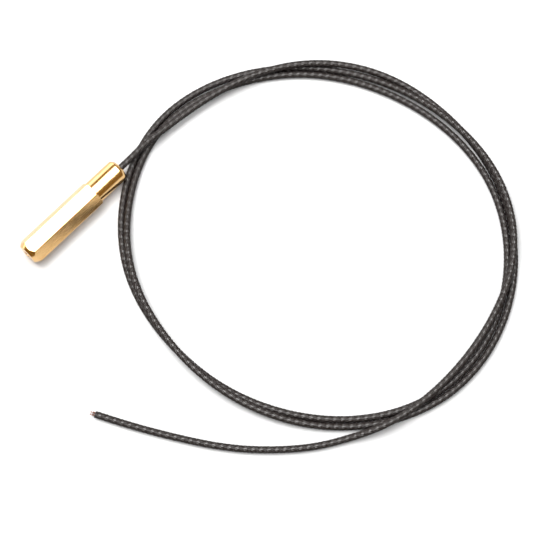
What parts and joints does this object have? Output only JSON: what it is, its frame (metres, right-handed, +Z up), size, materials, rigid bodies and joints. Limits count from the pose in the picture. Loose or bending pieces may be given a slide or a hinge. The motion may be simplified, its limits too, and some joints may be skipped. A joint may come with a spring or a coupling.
{
  "type": "flame sensor probe",
  "caption": "Slim brass hexagon-bar flame sensor with a round neck and a thin braided lead lying in a loose coil, cut bare at its end.",
  "frame": {"origin": "on the surface the probe lies on, under the middle of the probe without its lead", "axes": "+X along the probe from its tip to its neck, +Z up out of the top flat of the hexagon"},
  "size_m": [0.1305, 0.1136, 0.007],
  "materials": {
    "brass": "turned, satin",
    "copper": "bare copper wire",
    "tinned": "tinned",
    "black_braid": "varnished glass-fibre braid",
    "glass": "clear",
    "ceramic": "fired, unglazed",
    "rubber": "moulded silicone",
    "resin": "cast",
    "sleeve": "heat-shrunk",
    "core_plastic": "extruded"
  },
  "bodies": {
    "root": {"hex_housing": "brass", "lead_cable": "black_braid", "cut_core_a": "core_plastic", "cut_core_b": "core_plastic", "cut_conductor_a": "copper", "cut_conductor_b": "copper", "window_seal_ring": "rubber", "window_lens": "glass", "lens_retaining_ring": "brass", "photocell_can": "tinned", "photocell_header": "tinned", "sensor_lead_a": "tinned", "sensor_lead_b": "tinned", "ceramic_insulator": "ceramic", "crimp_splice_a": "tinned", "crimp_splice_b": "tinned", "splice_sleeve_a": "sleeve", "splice_sleeve_b": "sleeve", "core_conductor_a": "copper", "core_conductor_b": "copper", "core_insulation_a": "core_plastic", "core_insulation_b": "core_plastic", "potting_plug": "resin", "braid_tail": "black_braid", "braid_ferrule": "brass", "strain_bush": "rubber"}
  },
  "joints": []
}
